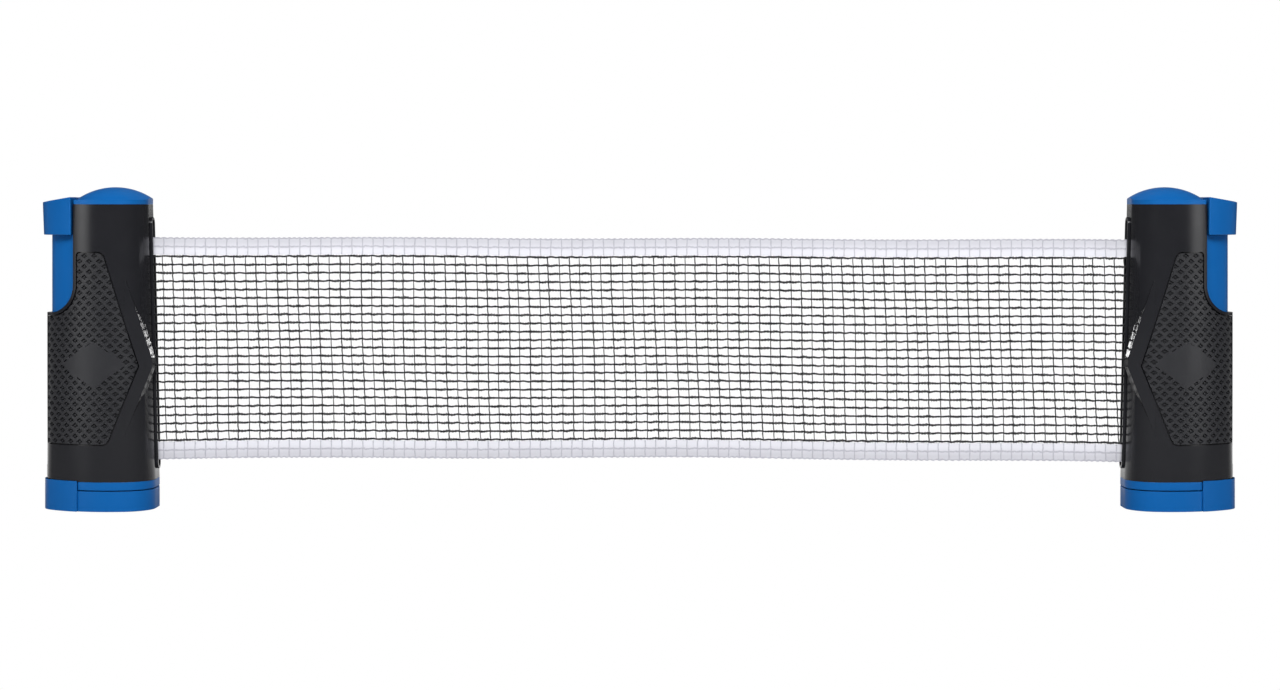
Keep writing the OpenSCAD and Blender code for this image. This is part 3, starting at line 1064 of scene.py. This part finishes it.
    def place(self, piece: bpy.types.Object, side: Side, turned: bool) -> bpy.types.Object:
        """Copies a modelled piece to one side of the set.

        Args:
            piece: The piece in its own plan.
            side: The side it goes to.
            turned: Whether the piece is mirrored from front to rear first.

        Returns:
            The placed copy.
        """
        twin = Bench.copy(piece)
        for vertex in twin.data.vertices:
            x, y, z = vertex.co
            vertex.co = (side.value * (x + self.half_span * MM), -y if turned else y, z)
        if (side is Side.LEFT) != turned:
            with Bench.editing(twin):
                bpy.ops.mesh.flip_normals()
        return twin

    def build(self, finishes: dict[Slot, bpy.types.Material]) -> None:
        """Models every visible piece of the clamp and dresses both clamps with it.

        Args:
            finishes: The materials by slot.
        """
        shells, jaws = self.shells(), self.jaws()
        grip = self.grip()
        LOG.info("shells, jaws and grip modelled")
        models: list[tuple[str, bpy.types.Object, Slot, bool]] = [
            *((name, shell, Slot.SHELL, False) for name, shell in shells.items()),
            ("front_grip", grip, Slot.GRIP, False),
            ("rear_grip", grip, Slot.GRIP, True),
            ("top_cap", self.cap(), Slot.BLUE, False),
            ("clamp_slider", self.slider(), Slot.BLUE, False),
            *((name, jaw, Slot.BLUE, False) for name, jaw in jaws.items()),
            ("slot_guide", self.guide(), Slot.SHELL, False),
            ("slider_spring", self.spring(), Slot.STEEL, False),
        ]
        for name, model, slot, turned in models:
            for side in Side:
                piece = Bench.smooth(self.place(model, side, turned))
                node = f"{side.label}_{name}"
                piece.name = f"{node}_skin"
                moves = name in ("clamp_slider", "lower_jaw")
                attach(piece, f"{side.label}_slider" if moves else f"{side.label}_clamp")
                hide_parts(node)
                Bench.dress(piece, finishes[slot])
                if name == "slider_spring":
                    self.press(piece)
                LOG.info("%s: %d faces", piece.name, len(piece.data.polygons))
        for model in {id(model): model for _, model, _, _ in models}.values():
            bpy.data.objects.remove(model)


# ---------------------------------------------------------------- the net


@dataclass
class Cords:
    """Strands gathered into one mesh: points in millimetres, faces, and each point's mark along and round."""

    verts: list[Point] = field(default_factory=list)
    faces: list[tuple[int, ...]] = field(default_factory=list)
    marks: list[tuple[float, float]] = field(default_factory=list)

    def add(self, other: "Cords") -> None:
        """Adds another lot of strands."""
        first = len(self.verts)
        self.verts.extend(other.verts)
        self.faces.extend(tuple(first + index for index in face) for face in other.faces)
        self.marks.extend(other.marks)

    def finish(self, name: str, material: bpy.types.Material) -> bpy.types.Object:
        """Makes the object, smooth, with its faces outward and a UV map along the strands.

        Args:
            name: The object's name.
            material: The cord's finish.

        Returns:
            The new object.
        """
        piece = Bench.sew(name, [tuple(value * MM for value in point) for point in self.verts], self.faces)
        layer = piece.data.uv_layers.new(name="along")
        for loop in piece.data.loops:
            layer.data[loop.index].uv = self.marks[loop.vertex_index]
        Bench.face_out(piece)
        bpy.ops.object.shade_smooth()
        Bench.dress(piece, material)
        return piece


@dataclass
class Net:
    """The open net and its two tapes, made in several lengths."""

    half_span: float = 313.0
    inner_left: float = 8.0
    inner_right: float = 24.0
    low: float = 30.6
    height: float = 145.0
    tape_h: float = 11.4
    rows: int = 23
    column: float = 6.8
    lengths: int = 8
    strand_r: float = 0.47
    row_step: float = 0.85
    twist_r: float = 0.38
    twist_pitch: float = 3.5
    warp_r: float = 0.34
    warp_lean: float = -3.0
    clear: float = 0.9
    tape_t: float = 1.3
    seed: int = 11

    def rise(self, x: float, z: float) -> float:
        """Gives the height of a point of the net once it hangs: its edges sag and swell a little.

        Args:
            x: The distance from the middle, in millimetres.
            z: The height on the flat net.

        Returns:
            The height on the hanging net.
        """
        t = x / self.half_span
        top = -0.9 - 0.9 * t + 0.35 * math.sin(9 * t)
        bottom = 1.6 - 1.1 * t - 2.0 * t * t + 0.45 * math.sin(7.5 * t + 1)
        share = (z - self.low) / self.height
        return z + bottom + (top - bottom) * share

    def depth(self, x: float, z: float) -> float:
        """Gives how far a point of the net stands to the rear, in millimetres."""
        calm = 1 - (x / self.half_span) ** 8
        return max(calm, 0.0) * (0.5 * math.sin(x / 41.0 + z / 90.0) + 0.3 * math.sin(x / 17.0 - z / 37.0))

    def stops(self) -> list[float]:
        """Gives where the lengths begin and end, in millimetres."""
        start, end = -self.half_span - self.inner_left, self.half_span + self.inner_right
        return [start + (end - start) * k / self.lengths for k in range(self.lengths + 1)]

    def follow(self, piece: bpy.types.Object) -> None:
        """Bakes one length of the net's placement into its mesh.

        Args:
            piece: The length's mesh.
        """
        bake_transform(piece)

    @staticmethod
    def share_at(value: float) -> float:
        """Gives where a smooth step from 0 to 1 has a value."""
        return 0.5 - math.sin(math.asin(1 - 2 * value) / 3)

    @staticmethod
    def tube(route: list[Point], radius: float, sides: int, chooser: random.Random) -> Cords:
        """Makes one strand as a closed tube of slightly uneven thickness.

        Args:
            route: Its centreline, in millimetres.
            radius: Its radius.
            sides: The number of sides.
            chooser: The source of small irregularities.

        Returns:
            The strand.
        """
        made = Cords()
        upright = abs(route[-1][2] - route[0][2]) > abs(route[-1][0] - route[0][0])
        for index, (x, y, z) in enumerate(route):
            swell = radius * (1 + chooser.uniform(-0.12, 0.12))
            for k in range(sides):
                angle = math.tau * k / sides
                a, b = swell * math.cos(angle), swell * math.sin(angle)
                made.verts.append((x + a, y + b, z) if upright else (x, y + a, z + b))
                made.marks.append((index * 0.9, k / sides))
        rings = len(route)
        for ring in range(rings - 1):
            for k in range(sides):
                p, q = ring * sides + k, ring * sides + (k + 1) % sides
                made.faces.append((p, q, q + sides, p + sides))
        made.faces.append(tuple(reversed(range(sides))))
        made.faces.append(tuple(range((rings - 1) * sides, rings * sides)))
        return made

    def mesh_length(self, index: int, material: bpy.types.Material) -> bpy.types.Object:
        """Models one length of the net's cords.

        Args:
            index: Its place, from the left.
            material: The cord's finish.

        Returns:
            The new object.
        """
        start, end = self.stops()[index : index + 2]
        low = self.low + self.tape_h + self.clear
        high = self.low + self.height - self.tape_h - self.clear
        cords = Cords()
        for k in range(self.rows):
            z = low + (high - low) * k / (self.rows - 1)
            self.add_row(cords, z, start, end, random.Random(self.seed + k))
        most = math.ceil(self.stops()[-1] / self.column)
        for column in range(-most, most + 1):
            if start < self.upright_at(column) <= end:
                self.add_upright(cords, column, low, high)
        return cords.finish(f"net_mesh_{index + 1}", material)

    def add_row(self, cords: Cords, z: float, start: float, end: float, chooser: random.Random) -> None:
        """Adds a length of one level cord: two strands twisted round each other.

        Args:
            cords: The cords to add to.
            z: Its height on the flat net.
            start: Where the length begins.
            end: Where it ends.
            chooser: The row's own source of chance.
        """
        phases = [chooser.uniform(0, math.tau) for _ in range(4)]
        steps = round((end - start) / self.row_step)
        for strand in (0.0, math.pi):
            route = []
            for i in range(steps + 1):
                x = start + (end - start) * i / steps
                wave = 0.11 * math.sin(x / 2.1 + phases[0]) + 0.08 * math.sin(x / 0.97 + phases[1])
                wave += 0.13 * math.sin(math.tau * x / self.column + phases[2])
                turn = math.tau * x / self.twist_pitch + 1.2 * math.sin(x / 5.3 + phases[3]) + strand
                spread = self.twist_r * (1.0 + 0.5 * math.sin(x / 3.1 + phases[1]))
                y = self.depth(x, z) + spread * math.cos(turn)
                route.append((x, y, self.rise(x, z) + wave + spread * math.sin(turn)))
            cords.add(self.tube(route, self.strand_r, 5, chooser))

    def add_upright(self, cords: Cords, column: int, low: float, high: float) -> None:
        """Adds one upright cord, which weaves past the level ones. Every other one is thicker and more bent.

        Args:
            cords: The cords to add to.
            column: The cord's number from the middle.
            low: Where it begins.
            high: Where it ends.
        """
        chooser = random.Random(self.seed + 7 * column + 5000)
        odd = column % 2
        lean = self.warp_lean + chooser.uniform(-0.3, 0.3)
        zigzag = 0.5 if odd else 0.15
        steps = 3 * (self.rows - 1)
        route = []
        for i in range(steps + 1):
            share = i / steps
            z = low + (high - low) * share
            x = self.upright_at(column) + lean * (share - 0.5) + 0.4 * math.sin(share * 6 + column * 0.2)
            x -= zigzag * ((i % 3) / 3 - 0.33)
            weave = 0.4 * math.cos(math.pi * i / 3 + column * math.pi)
            route.append((x, self.depth(x, z) + weave, self.rise(x, z)))
        cords.add(self.tube(route, self.warp_r * (1.2 if odd else 0.9), 5, chooser))

    def upright_at(self, column: int) -> float:
        """Gives where an upright cord stands, in millimetres from the middle."""
        return (column + 0.5) * self.column + 0.4 * math.sin(column * 2.3)

    def tape_length(self, index: int, top: bool, material: bpy.types.Material) -> bpy.types.Object:
        """Models one length of a tape: a double sheet folded over the edge, slightly puckered.

        Args:
            index: Its place, from the left.
            top: Whether it is the top tape.
            material: The tape's finish.

        Returns:
            The new object.
        """
        start, end = self.stops()[index : index + 2]
        Bench.clear()
        bpy.ops.mesh.primitive_grid_add(x_subdivisions=96, y_subdivisions=10, size=1.0)
        piece = bpy.context.object
        piece.name = f"net_{'top' if top else 'bottom'}_tape_{index + 1}"
        mesh = piece.data
        flat = [(vertex.co.x + 0.5, vertex.co.y + 0.5) for vertex in mesh.vertices]
        layer = mesh.uv_layers[0]
        for loop in mesh.loops:
            u, v = flat[loop.vertex_index]
            x = start + (end - start) * u
            layer.data[loop.index].uv = (x / self.column, 1 - v if top else v)
        outer = self.low + self.height if top else self.low
        inward = -1 if top else 1
        for vertex, (u, v) in zip(mesh.vertices, flat):
            x = start + (end - start) * u
            share = 1 - v if top else v
            z = outer + inward * share * self.tape_h
            pucker = 0.22 * math.sin(x * 1.7 + 2 * math.sin(x / 9.0)) * abs(share - 0.5) * 2
            wave = 0.35 * math.sin(x / 3.4 + (0.7 if top else 2.1)) * share
            vertex.co = (x * MM, (self.depth(x, z) + wave) * MM, (self.rise(x, z) + pucker) * MM)
        Bench.pick(piece)
        thick = piece.modifiers.new("double", "SOLIDIFY")
        thick.thickness = self.tape_t * MM
        thick.offset = 0.0
        bpy.ops.object.modifier_apply(modifier=thick.name)
        Bench.face_out(piece)
        bpy.ops.object.shade_smooth_by_angle(angle=math.radians(50))
        Bench.dress(piece, material)
        return piece

    def build(self, finishes: dict[Slot, bpy.types.Material]) -> None:
        """Models the net in its lengths and hides the imported net nodes.

        Args:
            finishes: The materials by slot.
        """
        for index in range(self.lengths):
            cords = self.mesh_length(index, finishes[Slot.NET])
            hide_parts("net_mesh")
            self.follow(cords)
            for top in (True, False):
                tape = self.tape_length(index, top, finishes[Slot.TAPE])
                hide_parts("net_top_tape" if top else "net_bottom_tape")
                self.follow(tape)
            LOG.info("net length %d: %d cord faces", index + 1, len(cords.data.polygons))


# ---------------------------------------------------------------- what stays as packed


def dress_nodes(finishes: dict[Slot, bpy.types.Material], frame: dict) -> None:
    """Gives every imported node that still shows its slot's finish.

    Args:
        finishes: The materials by slot.
    """
    slots = {part["node"]: part["material_slot"] for part in frame["record"]["subparts"]}
    for name, node in frame["nodes"].items():
        Bench.dress(node, finishes[Slot(slots[name])])
    LOG.info("%d packed nodes dressed", len(frame["nodes"]))


# ---------------------------------------------------------------- studio


@dataclass(frozen=True)
class Lamp:
    """A soft area lamp. Lengths are in metres, its power in watts and the spread of its light in degrees."""

    name: str
    place: Point
    target: Point
    size: tuple[float, float]
    power: float
    spread: float = 180.0
    mirrored: bool = True

    def build(self) -> None:
        """Adds the lamp to the scene."""
        Bench.clear()
        aim = Vector(self.target) - Vector(self.place)
        turn = aim.to_track_quat("-Z", "Y").to_euler()
        bpy.ops.object.light_add(type="AREA", location=self.place, rotation=turn)
        lamp = bpy.context.object
        lamp.name = self.name
        lamp.visible_glossy = self.mirrored
        lamp.data.shape = "RECTANGLE"
        lamp.data.size, lamp.data.size_y = self.size
        lamp.data.energy = self.power
        lamp.data.spread = math.radians(self.spread)


@dataclass
class Studio:
    """The camera, lamps, floor and background. Lengths are in metres."""

    distance: float = 1.6
    eye_height: float = 0.1974
    metres_per_pixel: float = 0.65e-3
    image_width: int = 1280
    image_height: int = 690
    horizon_row: float = 203.5
    sensor: float = 36.0
    room_light: float = 0.08
    backdrop_light: float = 0.3
    backdrop_from: tuple[float, float] = (0.87, 0.97)
    floor_front: tuple[float, float, float] = (0.4, 0.4, 0.4)
    floor_behind: tuple[float, float, float] = (0.7, 0.7, 0.7)
    floor_change: float = 0.3
    glow_fade: tuple[float, float] = (0.5, 1.0)

    def lamps(self) -> list[Lamp]:
        """Gives the lamps.

        Returns:
            One above, one low behind and one high behind that nothing mirrors, then for each clamp a panel
            at its outer end and a narrow one behind the other clamp, whose glint lies on the arrow.
        """
        middle = (0.0, 0.0, 0.1)
        lamps = [
            Lamp("key", (0.0, -1.25, 1.05), middle, (1.5, 0.5), 31.0),
            Lamp("back", (0.0, 1.5, 0.32), middle, (0.5, 0.16), 0.7),
            Lamp("fill", (0.0, 1.1, 1.3), middle, (1.2, 0.5), 9.0, mirrored=False),
        ]
        for side in Side:
            way, label = side.value, side.label
            beside, behind = (way * 0.85, -0.5, 0.2), (way * -0.233, 0.8, 0.245)
            end, arrow = (way * 0.34, 0.0, 0.12), (way * 0.318, 0.0, 0.1)
            lamps.append(Lamp(f"panel_{label}", beside, end, (0.36, 0.36), 0.06, 28.0))
            lamps.append(Lamp(f"glint_{label}", behind, arrow, (0.2, 0.05), 0.0025, 8.5))
        return lamps

    def build(self) -> None:
        """Builds the whole studio."""
        self.camera()
        self.floor()
        self.world()
        for lamp in self.lamps():
            lamp.build()
        LOG.info("studio built")

    def camera(self) -> None:
        """Places a level camera whose frame is shifted down to the object."""
        Bench.clear()
        place = (0.0, -self.distance, self.eye_height)
        bpy.ops.object.camera_add(location=place, rotation=(math.pi / 2, 0, 0))
        camera = bpy.context.object
        camera.name = "camera"
        camera.data.sensor_width = self.sensor
        camera.data.lens = self.sensor * self.distance / (self.image_width * self.metres_per_pixel)
        camera.data.shift_y = -(self.image_height / 2 - self.horizon_row) / self.image_width
        camera.data.clip_start = 0.05
        camera.data.clip_end = 50.0
        bpy.context.scene.camera = camera

    def floor(self) -> None:
        """Makes a wide floor, white to the camera, grey before the set, and paler and glowing behind it."""
        Bench.clear()
        bpy.ops.mesh.primitive_plane_add(size=30.0, location=(0.0, 0.0, -0.0002))
        floor = bpy.context.object
        floor.name = "floor"
        nodes = NodeTree(bpy.data.materials.new("pale_floor"))
        _, depth, _ = nodes.parts(nodes.coordinates())
        behind = nodes.between(depth, (0.0, 0.0), (self.floor_change, 1.0))
        fade_from, fade_to = self.glow_fade
        glow = nodes.math("MULTIPLY", behind, nodes.between(depth, (fade_from, 0.8), (fade_to, 0.0)))
        nodes.link(nodes.mix(behind, self.floor_front, self.floor_behind), nodes.shader.inputs["Base Color"])
        nodes.link(glow, nodes.shader.inputs["Emission Strength"])
        nodes.shader.inputs["Emission Color"].default_value = WHITE
        nodes.shader.inputs["Roughness"].default_value = 0.9
        nodes.shader.inputs["Specular IOR Level"].default_value = 0.1
        seen = nodes.add("ShaderNodeEmission", Color=WHITE, Strength=1.0)
        output = nodes.tree.nodes["Material Output"]
        nodes.show(nodes.shader.outputs["BSDF"], seen.outputs["Emission"], output)
        Bench.dress(floor, nodes.owner)

    def world(self) -> None:
        """Makes a room: white to the camera, and for the light a pale backdrop far behind in a dim room."""
        world = bpy.data.worlds.new("studio")
        bpy.context.scene.world = world
        nodes = NodeTree(world)
        nodes.tree.nodes.clear()
        seen, light = (nodes.add("ShaderNodeBackground", Color=WHITE) for _ in range(2))
        _, depth, _ = nodes.parts(nodes.coordinates("Generated"))
        room, backdrop = zip(self.backdrop_from, (self.room_light, self.backdrop_light))
        strength = nodes.between(depth, room, backdrop)
        nodes.link(strength, light.inputs["Strength"])
        output = nodes.add("ShaderNodeOutputWorld")
        nodes.show(light.outputs["Background"], seen.outputs["Background"], output)


def main() -> None:
    """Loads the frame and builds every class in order."""
    logging.basicConfig(level=logging.INFO, format="%(name)s: %(message)s")
    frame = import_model()
    bpy.context.scene.view_settings.view_transform = "Standard"
    finishes = Finishes().make()
    dress_nodes(finishes, frame)
    Clamp().build(finishes)
    Net().build(finishes)
    Studio().build()


if __name__ == "__main__":
    main()
